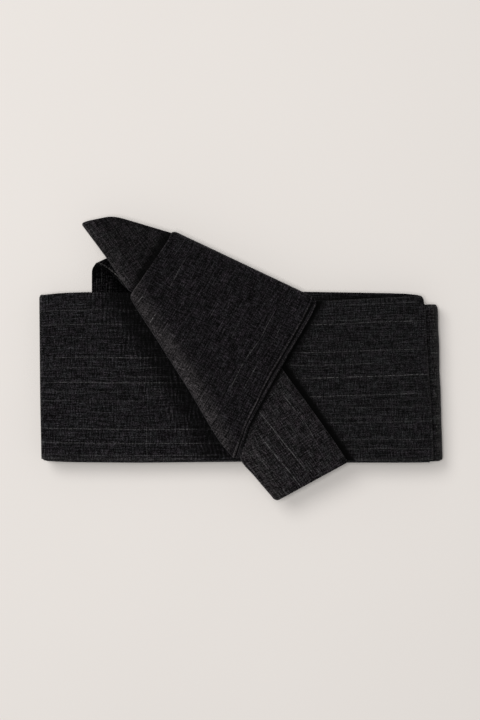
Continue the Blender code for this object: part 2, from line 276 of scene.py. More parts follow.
def clothObject(name, piece, lay, edges, replaced):
    # lay fills a bmesh and gives its stretches; each stretch's faces are turned outwards. The
    # piece's cut is the flat width and length of its cloth with both plies opened out, in metres.
    material = obiCloth(name.replace("_", " "), piece["slubs"], edges, **piece["finish"])
    bm = bmesh.new()
    uvLayer = bm.loops.layers.uv.new("cut")
    # a float on each vertex for painted light and shade: above 0 a painted highlight, below 0 a painted
    # shadow
    bm.verts.layers.float.new("paintedShading")
    for faces in lay(bm, uvLayer):
        bm.normal_update()
        top = max(faces, key=lambda f: f.calc_center_median().z)
        if top.normal.z < 0:
            bmesh.ops.reverse_faces(bm, faces=faces)
    mesh = bpy.data.meshes.new(name)
    bm.to_mesh(mesh)
    bm.free()
    cloth = bpy.data.objects.new(name, mesh)
    bpy.context.scene.collection.objects.link(cloth)
    mesh.materials.append(material)
    wall = cloth.modifiers.new("ply", "SOLIDIFY")
    wall.thickness = band["ply"] * mm
    wall.offset = -1.0
    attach(cloth, "root")
    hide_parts(*replaced)
    print("made", name, len(mesh.polygons), "faces")


# the cloth's finish

def mathSign(kind, flipped=False):
    # what an arithmetic sign does to a Value, as a Math node
    def reckoned(self, other):
        return self.reckon(kind, other, self) if flipped else self.reckon(kind, self, other)
    return reckoned


class Value:
    # a number that varies over the cloth; arithmetic on it adds Math nodes
    __add__, __radd__ = mathSign("ADD"), mathSign("ADD", True)
    __sub__, __rsub__ = mathSign("SUBTRACT"), mathSign("SUBTRACT", True)
    __mul__, __rmul__ = mathSign("MULTIPLY"), mathSign("MULTIPLY", True)
    __truediv__ = mathSign("DIVIDE")

    def __init__(self, tree, socket):
        self.tree = tree
        self.socket = socket

    def reckon(self, operation, *terms, clamp=False):
        node = self.tree.nodes.new("ShaderNodeMath")
        node.operation = operation
        node.use_clamp = clamp
        for slot, term in zip(node.inputs, terms):
            if isinstance(term, Value):
                self.tree.links.new(term.socket, slot)
            else:
                slot.default_value = term
        return Value(self.tree, node.outputs[0])

    def __abs__(self):
        return self.reckon("ABSOLUTE", self)

    def sine(self):
        return self.reckon("SINE", self)

    def most(self, other):
        return self.reckon("MAXIMUM", self, other)

    def exp(self):
        return self.reckon("EXPONENT", self)

    def clamped(self):
        return self.reckon("ADD", self, 0.0, clamp=True)

    def rise(self, low, high):
        # 0 up to low, 1 from high on
        return ((self - low) * (1 / (high - low))).clamped()


class Finish:
    def __init__(self, name):
        self.material = bpy.data.materials.new(name)
        self.material.use_nodes = True
        self.tree = self.material.node_tree
        self.shader = self.tree.nodes["Principled BSDF"]

    def add(self, kind, settings=None, inputs=None):
        node = self.tree.nodes.new(kind)
        for key, value in (settings or {}).items():
            setattr(node, key, value)
        for key, value in (inputs or {}).items():
            self.feed(node.inputs[key], value)
        return node

    def feed(self, slot, value):
        if isinstance(value, Value):
            value = value.socket
        if isinstance(value, bpy.types.NodeSocket):
            self.tree.links.new(value, slot)
        else:
            slot.default_value = value

    def value(self, socket):
        return Value(self.tree, socket)

    def blend(self, share, low, high):
        node = self.add("ShaderNodeMix", {"data_type": "RGBA"}, {0: share, 6: low, 7: high})
        return node.outputs[2]

    def grain(self, x, y, detail, rough, seed):
        # soft noise over two lengths, each already divided by its own pitch
        at = self.add("ShaderNodeCombineXYZ", None, {"X": x, "Y": y, "Z": seed})
        node = self.add("ShaderNodeTexNoise", {"noise_dimensions": "3D"},
                        {"Vector": at.outputs[0], "Scale": 1.0, "Detail": detail, "Roughness": rough})
        return self.value(node.outputs[0])


weave = {
    "warpPitch": 0.58,      # from one thread to the next across the band
    "weftPitch": 0.64,
    "warpSway": 0.9,        # how far the threads wander
    "weftSway": 1.1,
    # each unevenness: pitch along and across the band, detail, roughness, seed, and where it counts
    # only above a level, that level and the one where it is full
    "grains": {
        "swayAlong": (3.1, 2.3, 2.0, 0.5, 3.0),
        "swayAcross": (4.3, 1.9, 2.0, 0.5, 5.0),
        "warpStreak": (6.0, 0.75, 1.0, 0.6, 11.0),
        "longStreak": (15.0, 0.7, 1.0, 0.6, 13.0),
        "weftStreak": (0.85, 5.0, 1.0, 0.6, 17.0),
        "pebble": (0.72, 0.72, 1.0, 0.7, 23.0),
        "patch": (26.0, 17.0, 2.0, 0.5, 29.0),
        "warpGlint": (6.5, 0.4, 1.0, 0.5, 31.0, 0.64, 0.80),
        "weftGlint": (0.4, 5.0, 1.0, 0.5, 37.0, 0.66, 0.82),
        "beads": (0.95, 0.95, 0.0, 0.5, 41.0, 0.42, 0.60),
        "broken": (6.0, 3.0, 2.0, 0.6, 42.0, 0.34, 0.60),
        "wobble": (20.0, 40.0, 2.0, 0.5, 43.0),
        "hue": (5.0, 5.0, 2.0, 0.5, 61.0, 0.36, 0.64),
    },
    # how strongly they show as light and dark, and as height
    "contrast": {"warpStreak": 1.9, "longStreak": 2.5, "weftStreak": 2.9, "pebble": 4.9, "checker": 0.12},
    "relief": {"checker": 0.22, "pebble": 1.2, "warpStreak": 0.6, "weftStreak": 0.6},
    "slubRelief": 0.5,
    "patchy": 0.42,
    "tone": 0.86,
    "darkest": 0.04,        # the least light that a thread keeps
    "smoothPainted": 0.4,      # how much of the threads' contrast is lost under a painted highlight
    "huePainted": 0.8,         # how soon a place with a painted highlight takes the highlight's hue
    "slubPainted": 0.8,        # how much the slubs lighten and darken with the painted light and shade
    "slubWidth": (1.2, 3.8),     # strength in a slub's middle, and its fall for each mm sideways
    "slubTaper": 4.0,            # over what length a slub begins and ends
    "slubBeads": (0.85, 0.15),   # how much of a slub is beaded, and how much is even
    "slubBroken": (0.56, 0.40),
    "glint": 0.08,
    "weftGlint": 0.6,            # against the warp's
    "grey": (0.0075, 0.0076, 0.0081),
    "violet": (0.0082, 0.0072, 0.0084),
    # the hue that places with a painted highlight take
    "paintedMark": (0.0079, 0.0076, 0.0075),
    "slub": (0.142, 0.140, 0.142, 1.0),
    "roughness": 0.88,
    "pebbleRoughness": 0.14,
    "specular": 0.06,
    "sheen": 0.05,
    "sheenRoughness": 0.45,
    "sheenTint": (0.95, 0.93, 1.0, 1.0),
    "bump": 0.14,
    "bumpStrength": 0.75,
}


def weighed(layers, weights):
    total = 0.0
    for key, weight in weights.items():
        total = total + layers[key] * weight
    return total


def slubLine(along, across, wobble, start, end, strength):
    # one thick thread between two places on the cut, along the warp or along the weft
    if abs(end[0] - start[0]) <= abs(end[1] - start[1]):
        along, across, start, end = across, along, start[::-1], end[::-1]
    (from0, side0), (from1, side1) = sorted((start, end))
    off = across - (along - from0) * ((side1 - side0) / (from1 - from0)) - side0 + wobble
    taper = weave["slubTaper"]
    ends = (along - from0).rise(0.0, taper) * (from1 - along).rise(0.0, taper)
    middle, fall = weave["slubWidth"]
    return (middle - abs(off) * fall).clamped() * ends * strength


def obiCloth(name, slubs, edges, tone=1.0, seed=0.0, tint=(1.0, 1.0, 1.0), grainy=1.0, gloss=1.0):
    # Charcoal double-ply weave. slubs are thick light threads as (from, to, strength) in the cut's
    # own millimetres, and edges are (across, reach, strength) along which a highlight is painted, or
    # a shade where the strength is below 0.
    f = Finish(name)
    cut = f.add("ShaderNodeUVMap", {"uv_map": "cut"})
    parts = f.add("ShaderNodeSeparateXYZ", None, {"Vector": cut.outputs[0]})
    along = f.value(parts.outputs[0]) * (1 / mm)
    across = f.value(parts.outputs[1]) * (1 / mm)

    def uneven(key):
        alongPitch, acrossPitch, detail, rough, shift, *levels = weave["grains"][key]
        value = f.grain(along / alongPitch, across / acrossPitch, detail, rough, seed + shift)
        return value.rise(*levels) if levels else value - 0.5

    weftAt = along + uneven("swayAlong") * weave["weftSway"]
    warpAt = across + uneven("swayAcross") * weave["warpSway"]
    threads = {key: uneven(key) for key in ("warpStreak", "longStreak", "weftStreak", "pebble")}
    threads["checker"] = ((weftAt * (math.pi / weave["weftPitch"])).sine()
                          * (warpAt * (math.pi / weave["warpPitch"])).sine())
    # the painted light and shade that each piece gives its vertices, highlights above 0 and shadows
    # below, with the painted edge marks added in
    paintedShading = f.value(f.add("ShaderNodeAttribute", {"attribute_name": "paintedShading"}).outputs["Fac"])
    paintedLight = paintedShading
    for at, reach, strength in edges:
        paintedLight = paintedLight + (1.0 - abs(across - at) * (1 / reach)).clamped() * strength
    keeps = 1.0 - paintedLight.clamped() * weave["smoothPainted"]
    light = (1.0 + weighed(threads, weave["contrast"]) * keeps * grainy).most(weave["darkest"])
    body = uneven("patch") * weave["patchy"] + paintedLight

    glint = uneven("warpGlint") + uneven("weftGlint") * weave["weftGlint"]
    wobble = uneven("wobble")
    lines = 0.0
    for slub in slubs:
        lines = lines + slubLine(along, across, wobble, *slub)
    (beaded, even), (broken, whole) = weave["slubBeads"], weave["slubBroken"]
    lines = lines * (uneven("beads") * beaded + even) * (uneven("broken") * broken + whole)
    slubLight = (glint * weave["glint"] + lines) * (paintedShading * weave["slubPainted"]).exp()

    shade = body.exp() * light * light * (tone * weave["tone"])
    grey, violet, paintedMark = [(*[c * t for c, t in zip(weave[key], tint)], 1.0)
                          for key in ("grey", "violet", "paintedMark")]
    dye = f.blend((paintedLight * weave["huePainted"]).clamped(), f.blend(uneven("hue"), grey, violet), paintedMark)
    dark = f.add("ShaderNodeVectorMath", {"operation": "SCALE"}, {0: dye, "Scale": shade})
    base = f.blend(slubLight.clamped(), dark.outputs[0], weave["slub"])
    f.feed(f.shader.inputs["Base Color"], base)
    rough = weave["roughness"] + threads["pebble"] * weave["pebbleRoughness"]
    f.feed(f.shader.inputs["Roughness"], rough)
    f.shader.inputs["Metallic"].default_value = 0.0
    f.shader.inputs["Specular IOR Level"].default_value = weave["specular"] * gloss
    f.shader.inputs["Sheen Weight"].default_value = weave["sheen"] * gloss
    f.shader.inputs["Sheen Roughness"].default_value = weave["sheenRoughness"]
    f.shader.inputs["Sheen Tint"].default_value = weave["sheenTint"]
    height = weighed(threads, weave["relief"]) + slubLight * weave["slubRelief"]
    bump = f.add("ShaderNodeBump", None, {"Strength": weave["bumpStrength"],
                                          "Distance": weave["bump"] * mm, "Height": height})
    f.feed(f.shader.inputs["Normal"], bump.outputs[0])
    return f.material


# the stack's panels

leftPanel = {
    "end": 94.1,
    "returnEnd": -104.0,
    "north": ((-117.0, 36.8), (-106.0, 38.2), (-88.0, 38.7), (-60.0, 38.0), (0.0, 38.6),
              (35.0, 38.9), (94.0, 37.9), (103.5, 37.1), (107.0, 36.0)),
    "south": ((-117.0, -59.7), (-106.0, -60.5), (-88.0, -60.8), (-60.0, -61.0), (0.0, -60.4),
              (35.0, -59.9), (94.0, -59.6)),
    "fold": ((-60.0, -116.8), (-24.0, -117.6), (37.0, -118.1)),
    "shows": 20.0,       # west of here the panel shows
    "fineAlong": 0.6,
    "corner": 1.8,
    "swell": {"flat": 0.22, "waves": ((0.34, 34.0, 2.0), (0.16, 12.0, 7.0)), "reach": (14.0, 14.0)},
    # beside the knot, which pulls this panel in: upright creases and slighter level ones, raised in the
    # mesh and given painted light and shade
    "creases": {
        "from": 3.0,
        "reach": 34.0,
        "pitch": 2.3,
        "sway": ((5.0, 9.0, 71.0), (2.0, 3.6, 74.0)),
        "uneven": (0.8, 7.0, 79.0),
        "even": 0.75,
        "levelPitch": 3.9,
        "levelSway": (4.0, 11.0, 77.0),
        "height": 0.11,
        "levelHeight": 0.03,
        "light": 1.15,
        "levelLight": 0.35,
    },
    # painted shade by the knot, on the strip and beside the right panel, painted highlights on the south
    # edge and on the fold
    "paintedMarks": {
        "stripFrom": 30.0,             # east of here only the strip north of the right panel shows
        "strip": -0.85,
        "besideRight": (-0.9, 0.4, 1.8),
        "knotDark": (1.85, 1.5),       # at the head and at the foot of the wrap's lower fold
        "knot": (1.0, 2.3, 16.0),
        "aroundKnot": (0.18, 0.0, 55.0),
        "south": (0.36, 0.5, 4.2),
        "fold": (0.85, 0.4, 2.6),
    },
    "finish": {"tone": 0.96, "seed": 1.0, "tint": (1.0, 1.0, 1.03)},
    "cut": (0.2139, 0.226),
    "area": 0.0481,
    "slubs": (
        ((-20.0, 10.5), (118.0, 10.5), 0.28),
        ((-20.0, 18.8), (118.0, 18.6), 0.32),
        ((-20.0, 37.8), (110.0, 37.8), 0.46),
        ((40.0, 43.6), (118.0, 43.6), 0.20),
        ((-20.0, 48.9), (70.0, 48.9), 0.26),
        ((-20.0, 52.4), (118.0, 52.2), 0.58),
        ((40.0, 57.4), (118.0, 57.4), 0.20),
        ((-20.0, 59.3), (60.0, 59.3), 0.16),
        ((50.0, 62.8), (118.0, 62.8), 0.22),
        ((-20.0, 79.3), (118.0, 79.0), 0.54),
        ((-20.0, 87.4), (118.0, 87.2), 0.50),
        ((-20.0, 94.3), (118.0, 94.2), 0.32),
        ((55.4, 77.0), (55.0, 97.0), 0.35),
        ((88.0, 20.0), (88.2, 46.0), 0.10),
        ((72.0, 50.0), (72.2, 90.0), 0.12),
    ),
}


def edgeY(panel, x, share):
    # share runs from the plain north edge to the sewn south edge
    north = readSoft(panel["north"], x, band["edgeSoft"])
    return mix(north, readSoft(panel["south"], x, band["edgeSoft"]), share)


def foldX(panel, y):
    return readSoft(panel["fold"], y, band["foldSoft"])


def leftMid(s, across):
    # to 1 it runs west, to 2 round its fold, and then back east underneath
    share = across / band["width"]
    y = edgeY(leftPanel, leftPanel["fold"][0][1], share)
    centre = foldX(leftPanel, y) + turn + half
    centre += bothCorners(across, band["width"], leftPanel["corner"])
    if s < 1:
        x = mix(leftPanel["end"], centre, s)
        return Vector((x, edgeY(leftPanel, x, share), leftLevel))
    if s < 2:
        angle = math.pi * (s - 1)
        return Vector((centre - turn * math.sin(angle), y, leftLevel - turn + turn * math.cos(angle)))
    return Vector((mix(centre, leftPanel["returnEnd"], s - 2), y, leftLevel - 2 * turn))


def leftCreases(x, y):
    # the upright creases, up to 1, and the level ones, up to 1
    creases = leftPanel["creases"]
    fromKnot = sideways(Vector((x, y)), *wrap["fold"][::-1])
    share = near(fromKnot - creases["from"], creases["reach"])
    upright = math.sin(x * math.tau / creases["pitch"] + wavers(x, y, *creases["sway"]))
    level = math.sin(y * math.tau / creases["levelPitch"] + wavers(x, y, creases["levelSway"]))
    return share * upright * (creases["even"] + wavers(x, y, creases["uneven"])), share * level


def leftPuff(s, across):
    if s > 1:
        return 0.0
    place = leftMid(s, across)
    upright, level = leftCreases(place.x, place.y)
    creases = leftPanel["creases"]
    ridge = creases["height"] * upright + creases["levelHeight"] * level
    return swell(leftPanel, place.x, across, across, band["width"]) + ease(across / 3.0) * ridge


# painted light and shade on the left panel: shade by the knot, highlights on its edges, light and shade
# along its creases
def leftShading(s, across, place):
    paintedMarks, creases = leftPanel["paintedMarks"], leftPanel["creases"]
    if place.x > paintedMarks["stripFrom"]:
        return paintedMarks["strip"] + paintedMark(paintedMarks["besideRight"], place.y - edgeY(rightPanel, place.x, 0.0))
    low, high = wrap["fold"]
    fromKnot = sideways(place, high, low)
    down = ease((place.xy - low).dot(high - low) / (high - low).length_squared)
    dark = mix(*paintedMarks["knotDark"], down) * paintedMark(paintedMarks["knot"], fromKnot) + paintedMark(paintedMarks["aroundKnot"], fromKnot)
    rim = paintedMark(paintedMarks["south"], place.y - leftPanel["south"][0][1])
    rim += paintedMark(paintedMarks["fold"], place.x - foldX(leftPanel, place.y))
    upright, level = leftCreases(place.x, place.y)
    return creases["light"] * upright + creases["levelLight"] * level - dark + rim


def layLeft(bm, uvLayer):
    length = leftPanel["end"] - leftPanel["fold"][0][1]
    unseen = (leftPanel["end"] - leftPanel["shows"]) / length
    fine = leftPanel["fineAlong"] / length
    alongs = stations((0.0, unseen, band["coarse"] / length), (unseen, 1.0, fine), (1.0, 2.0, 0.125),
                      (2.0, 3.0, 0.25))
    yield layBand(bm, uvLayer, alongs, bandSection(), leftMid, Vector((-1.0, 0.0)), puff=leftPuff,
                  paintedShading=leftShading)


rightPanel = {
    "returnEnd": leftPanel["end"],
    "corner": 2.4,
    "north": ((-48.0, 37.6), (0.0, 34.4), (45.0, 33.4), (104.0, 36.3), (112.0, 35.4)),
    "south": ((-48.0, -60.6), (45.0, -60.9), (104.0, -60.9), (112.0, -60.6)),
    "fold": ((-59.0, 112.3), (-36.0, 111.2), (13.0, 108.0), (35.0, 107.1)),
    "tuck": (3.0, 9.0),      # how far the turned-under layer stands in at the north, and over what width
    "length": 130.0,
    "evenStation": 60,       # where the threads lie true, as a row of the mesh
    "swell": {"flat": 0.18, "waves": ((0.28, 30.0, 32.0), (0.12, 10.0, 37.0)), "reach": (12.0, 12.0)},
    # painted shadows beside the tail and the wrap, painted highlights on the fold and the south edge,
    # painted shade on the turned-under layer
    "paintedMarks": {
        "under": -0.85,
        "beside": -1.3,                # painted shade beside the tail and beside the wrap
        "besideTail": (1.0, 0.5, 6.0),
        "besideWrap": (1.0, 0.5, 7.0),
        "line": -4.1,                  # painted shadow where they touch it
        "tailLine": (1.0, 1.6, 3.1),
        "wrapLine": (0.8, 0.8, 2.2),
        "fold": (0.5, 0.3, 1.4),
        "south": (0.2, 0.5, 4.0),
    },
    "finish": {"tone": 0.93, "seed": 2.0, "tint": (0.99, 1.015, 1.01), "grainy": 0.85},
    "cut": (0.2139, 0.182),
    "area": 0.0311,
    "slubs": (
        ((60.0, 3.5), (104.0, 3.6), 0.22),
        ((10.0, 12.6), (104.0, 12.6), 0.20),
        ((10.0, 14.7), (106.0, 14.7), 0.50),
        ((10.0, 31.8), (108.0, 31.3), 0.42),
        ((10.0, 39.6), (80.0, 39.2), 0.32),
        ((10.0, 47.5), (110.0, 46.3), 0.62),
        ((10.0, 58.9), (106.0, 57.4), 0.50),
        ((60.0, 65.5), (110.0, 65.0), 0.20),
        ((20.0, 71.5), (84.0, 71.0), 0.24),
        ((40.0, 74.3), (112.0, 73.8), 0.30),
        ((40.0, 84.8), (112.0, 84.4), 0.30),
        ((50.0, 90.2), (112.0, 90.0), 0.32),
    ),
}

# the tail, the band folded in half along its length

tail = {
    "thick": 2 * band["thick"] + band["gap"],
    "underside": 20.7,
    "head": Vector((-30.0, 70.2)),
    "foot": Vector((61.5, -59.8)),
    "headLine": ((0.0, 9.5), (5.0, -1.0), (6.6, -7.1), (30.2, -36.3), (46.3, -43.4)),
    "corner": 1.6,
    "footLine": ((0.0, 159.8), (47.5, 154.7)),
    "footWidth": 48.0,
    # where the reading turns soft, and the lengths that round it off before and after
    "headSoft": (0.4, 0.7, 3.5),     # by the share across
    "widthSoft": (30.0, 1.5, 4.0),   # by the distance along
    "widths": ((-42.0, 47.1), (-18.0, 46.4), (5.5, 46.9), (10.5, 42.0), (60.0, 45.0), (116.0, 48.0),
               (124.5, 51.0), (131.0, 49.6), (154.0, 47.5)),
    "evenWidth": 45.0,
    # how far the plain fold stands out from straight, by the distance along
    "plainBow": ((98.0, 0.0), (111.0, 0.3), (124.0, 0.47), (137.0, 0.58), (150.0, 0.47), (160.0, 0.2)),
    "length": 176.0,
    "falls": ((60.0, 0.0), (110.0, 1.7), (125.0, 2.3), (160.0, 2.4)),
    "crown": 2.8,
    "crownReach": 18.0,
    "crownWidth": 46.3,
    "mouth": (10.5, 0.37, 11.0),     # where the ear dips under the wrap: along, slant, reach
    "start": -20.0,
    "upperSide": band["width"] / 2,  # the part of the width that makes the upper layer
    "fineTo": 53.0,
    "evenStation": 20,
    "swell": {"flat": 0.15, "waves": ((0.22, 22.0, 12.0), (0.10, 9.0, 15.0)), "reach": (7.0, 7.0)},
    # painted shade on the ear beside and under the wrap, along the plain edge and beside the sewn edge,
    # painted highlights on the half fold and the ear's rim
    "paintedMarks": {
        "earTo": 20.0,                 # the ear ends before this distance along
        "earFrom": -3.0,               # and begins this far past the wrap's edge
        "ear": -0.55,
        "foldAt": 46.2,                # the half fold's distance across
        "earFold": (1.0, 3.2, 7.0),
        "earFoldLight": 0.74,
        "earFoldKeeps": 0.5,           # how much less dark the fold is under the wrap
        "earRim": (0.5, 0.0, 2.6),
        "underWrap": (-2.0, 0.6, 3.6),
        "footFold": (0.46, 1.2, 13.0),
        "plainEdge": (-0.3, 0.5, 3.5),
        "besideWrap": ((-3.4, 1.5, 1.1), (-1.5, 1.1, 2.6)),
    },
    # the tail's tone is lighter than the other pieces': partly the cloth's own and partly painted light,
    # for the light that its slope and threads catch
    "finish": {"tone": 1.35, "seed": 4.0, "tint": (1.0, 0.967, 0.965), "grainy": 0.92},
    "cut": (0.2139, 0.203),
    "area": 0.0386,
    "slubs": (
        ((117.0, 41.1), (146.0, 41.2), 0.36),
        ((117.0, 34.5), (157.0, 32.5), 0.82),
        ((105.0, 27.0), (151.0, 24.3), 0.95),
        ((103.0, 9.4), (123.0, 8.3), 0.55),
        ((122.0, 8.3), (139.0, 9.4), 0.45),
        ((108.0, 17.5), (140.0, 16.5), 0.26),
        ((-30.0, 41.5), (-6.0, 40.5), 0.12),
    ),
}
tailRun = (tail["foot"] - tail["head"]).normalized()
tailSide = Vector((tailRun.y, -tailRun.x))
tailTurn = (tail["thick"] - band["thick"]) / 2


def tailPoint(along, across):
    return tail["head"] + along * tailRun + across * tailSide


def tailUnderside(along, y):
    return tail["underside"] - readSoft(tail["falls"], along, 9.0) - northDroop(y) - southDroop(y)


def tailCrown(along, across, headAt):
    mouth, slant, reach = tail["mouth"]
    pastMouth = ease((slant * across - along - mouth) / reach)
    fromHead = ease((along - headAt) / tail["crownReach"])
    inside = math.sin(math.pi * min(max(across / tail["crownWidth"], 0.0), 1.0))
    return tail["crown"] * pastMouth * fromHead * inside


def readTail(rows, at, soft, place):
    # read sharply up to a place and more softly past it
    sharpTo, sharp, dull = tail[soft]
    return readSoft(tail[rows], at, sharp if place < sharpTo else dull)


def tailMid(s, across):
    # below s 0 the head turns over as a fold; from 0 to 1 it runs to its foot
    bend = math.pi * tailTurn
    side = (band["width"] - bend) / 2
    if across < side:
        part, angle = across / side, math.pi / 2
    elif across < side + bend:
        part, angle = 1.0, math.pi / 2 - (across - side) / tailTurn
    else:
        part, angle = (band["width"] - across) / side, -math.pi / 2
    outward = tailTurn * max(math.cos(angle), 0.0)
    headAt = readTail("headLine", part * tail["headLine"][-1][0], "headSoft", part)
    footAt = readOff(tail["footLine"], part * tail["footLine"][-1][0])
    footWidth = tail["footWidth"]
    footAt -= bothCorners(part * footWidth + outward, footWidth + tailTurn, tail["corner"])
    inset = tailTurn + half
    along = mix(headAt + inset, footAt, max(s, 0.0))
    flatten = 1.0
    if s < 0:
        over = -s * math.pi / 2
        along -= tailTurn * math.sin(over)
        flatten = math.cos(over)
    fullWidth = readTail("widths", along, "widthSoft", along) - tailTurn - half
    reach = part * tail["evenWidth"] + part ** 4 * (fullWidth - tail["evenWidth"]) + outward * flatten
    reach -= readSoft(tail["plainBow"], along, 4.0) * (1 - part) ** 3
    place = tailPoint(along, reach)
    height = tailUnderside(along, place.y) + half + tailTurn * (1 + flatten * math.sin(angle))
    if angle > 0:
        height += tailCrown(along, reach, headAt) * math.sin(angle) * flatten
    return Vector((*place, height))


def tailPuff(s, across):
    if not 0 <= s <= 1 or across > tail["upperSide"]:
        return 0.0
    along = mix(tail["start"], tail["start"] + tail["length"], s)
    return swell(tail, along, across, across, tail["upperSide"])


# painted light and shade on the tail
def tailShading(s, across, place):
    paintedMarks = tail["paintedMarks"]
    offset = place.xy - tail["head"]
    along, reach = offset.dot(tailRun), offset.dot(tailSide)
    inside = paintedMarks["foldAt"] - reach
    toWrap = sideways(place, wrap["fold"][0], wrap["top"][0])
    if toWrap > paintedMarks["earFrom"] and along < paintedMarks["earTo"]:
        fold = paintedMark(paintedMarks["earFold"], inside)
        light = paintedMarks["ear"] + paintedMarks["earFoldLight"] * fold + paintedMark(paintedMarks["earRim"], inside)
        return light + paintedMark(paintedMarks["underWrap"], toWrap) * (1 - paintedMarks["earFoldKeeps"] * fold)
    fromWrap = outsideSewn(place)
    line = sum(paintedMark(mark, fromWrap) for mark in paintedMarks["besideWrap"])
    return paintedMark(paintedMarks["footFold"], inside) + paintedMark(paintedMarks["plainEdge"], reach) + line


def tailPinch(s, across):
    # the foot's edges are turned in and sewn, so it ends in a rounded lip
    fromFoot = (1.0 - s) * tail["length"]
    if fromFoot >= half:
        return 1.0
    return math.sqrt(max(1 - (1 - fromFoot / half) ** 2, 0.02))


def layTail(bm, uvLayer):
    length = tail["length"]
    alongs = stations((-1.0, 0.0, 0.25), (0.0, 1.0 - half / length, band["fine"] / length))
    alongs += [1.0 - half * (1 - math.sin(math.radians(a))) / length for a in (30, 60, 90)]
    yield layBand(bm, uvLayer, alongs, bandSection(fineTo=tail["fineTo"]), tailMid, tailRun,
                  tail["head"], tail["evenStation"], tailPuff, tailPinch, tailShading)


# the wide wrap

wrap = {
    "fold": (Vector((-65.2, 36.4)), Vector((-5.2, -58.4))),
    "top": (Vector((-39.8, 74.4)), Vector((44.4, 34.6))),
    "toe": Vector((1.7, -0.8)),    # how far the corner at the foot of that edge is drawn out
    "gap": 0.65,
    "flange": 10.0,
    "returns": (5.0, 18.0),
    "drop": (4.6, 40.0),
    "probe": 4.0,
    "roll": 9.0,          # how far the lower fold rounds back over the top
    "lipStep": 3.2,
    "lowerLip": 0.42,
    # how far the upper turned-in edge closes up on the lower one, by the station up the rib
    "closeUp": ((1.5, 1.9), (2.02, 1.95), (2.13, 2.2), (2.26, 1.75), (2.39, 0.9), (2.52, 0.6),
                (2.78, 0.45), (2.92, 0.0)),
    # how far the lower fold and the sewn edge stand out from straight, by share from D to C and C to B
    "foldBow": ((0.0, 0.3), (0.3, 0.12), (0.6, 0.0), (0.85, 0.92), (1.0, 0.3)),
    "sewnBow": ((0.0, 0.0), (0.12, -2.0), (0.26, -1.65), (0.39, -1.5), (0.52, -0.75), (0.65, -0.25),
                (0.78, 0.45), (0.9, 1.2), (1.0, 0.8)),
    # the painted highlight on the roll of the lower fold, by the distance from that fold
    "shine": ((0.0, 1.35), (1.7, 1.5), (4.2, 1.27), (6.4, 1.1), (8.2, 0.88), (10.5, 0.42), (14.0, 0.08)),
    "closeUpReach": (14.0, 10.0),    # how far from the sewn edge that begins, and over what width
    "closeUpSoft": 0.06,
    "bowSoft": 0.04,
    "foldBowSoft": 0.05,
    "bowFrom": 0.8,                  # the share across from which the sewn edge bows
    "toeFrom": 0.9,                  # and from which its foot is drawn out
    "sewnFoot": 0.085,               # the share of the sewn edge that the roll at its foot takes up
    "sewnLean": 0.88,                # how far that edge moves square to itself as it moves east
    "corner": 2.4,
    "rib": 95.0,
    "warpWay": Vector((0.49, 0.87)).normalized(),
    "swell": {"flat": 0.2, "waves": ((0.35, 30.0, 22.0), (0.12, 10.0, 25.0)), "reach": (8.0, 10.0)},
    # painted highlight on the roll and along the top fold, weaker near the sewn edge and taken off the
    # lips near their head
    "paintedMarks": {
        "narrow": (60.0, 45.0, 1.35),  # from here along the lower fold the shine gets narrower: over, by
        "shineSoft": 0.6,
        "middle": (60.0, 36.0),        # where along the fold it is strongest, and how far that reaches
        "atMiddle": 1.22,
        "atEnds": 0.98,
        "patches": (0.3, 6.0, 61.0),
        "sewn": (-0.35, 1.5, 5.0),
        "top": (0.4, 0.6, 2.6),
        "lips": (1.0, 3.4, 1.4),       # the sewn lips lose their light at their head
        "lipsHead": (1.0, 2.0, 9.0),
    },
    # the wrap's darker tone is partly the cloth's own and partly painted shade
    "finish": {"tone": 0.655, "seed": 3.0, "tint": (1.0, 0.945, 1.02), "grainy": 1.06},
    "cut": (0.214, 0.139),
    "area": 0.0236,
    "slubs": (    # from and to in plan, strength
        ((-31.9, 59.1), (-42.6, 38.7), 0.50),
        ((-17.2, 50.3), (-21.2, 42.8), 0.34),
        ((-0.8, 21.2), (-6.1, 11.3), 0.40),
        ((19.0, 27.0), (11.4, 11.3), 0.52),
        ((11.4, 11.3), (2.1, -1.0), 0.50),
        ((2.1, -1.0), (-6.6, -18.5), 0.56),
        ((23.7, 20.6), (19.6, 11.3), 0.44),
        ((9.7, -3.9), (0.9, -19.7), 0.48),
        ((-14.8, 29.9), (-18.9, 21.8), 0.34),
        ((-55.6, 37.5), (-60.3, 31.9), 0.90),
        ((-49.2, 26.4), (-53.9, 19.4), 0.85),
        ((-22.4, 56.2), (-21.2, 55.0), 0.90),
    ),
}
sewnEdge = (wrap["fold"][1], wrap["top"][1])     # the wrap's, in plan, from its foot to its head
wrapSection = bandSection(lipStep=wrap["lipStep"], lowerLip=wrap["lowerLip"])


def wrapLevel(place):
    offset = place - tail["head"]
    fall, reach = wrap["drop"]
    sunk = fall * ease(-offset.dot(tailSide) / reach)
    return tailUnderside(offset.dot(tailRun), place.y) + tail["thick"] + wrap["gap"] + half - sunk


def wrapRoll(share):
    low, high = wrap["fold"]
    inward = Vector((low.y - high.y, high.x - low.x)).normalized()
    bow = readSoft(wrap["foldBow"], share, wrap["foldBowSoft"])
    edge = low.lerp(high, share) - bow * inward
    radius = (wrapLevel(edge + wrap["probe"] * inward) - rightLevel) / 2
    return edge, radius, inward


def wrapFlangeEdge(share):
    edge, radius, inward = wrapRoll(share)
    return edge + (radius + half) * inward + Vector((wrap["flange"], 0.0))


def wrapCloseUp(s, across):
    toEdge = band["width"] - wrap["lowerLip"] - across
    begins, over = wrap["closeUpReach"]
    rising = ease((begins - toEdge) / over)
    falling = min(max(toEdge / (wrap["lipStep"] - wrap["lowerLip"]), 0.0), 1.0)
    return readSoft(wrap["closeUp"], s, wrap["closeUpSoft"]) * rising * falling


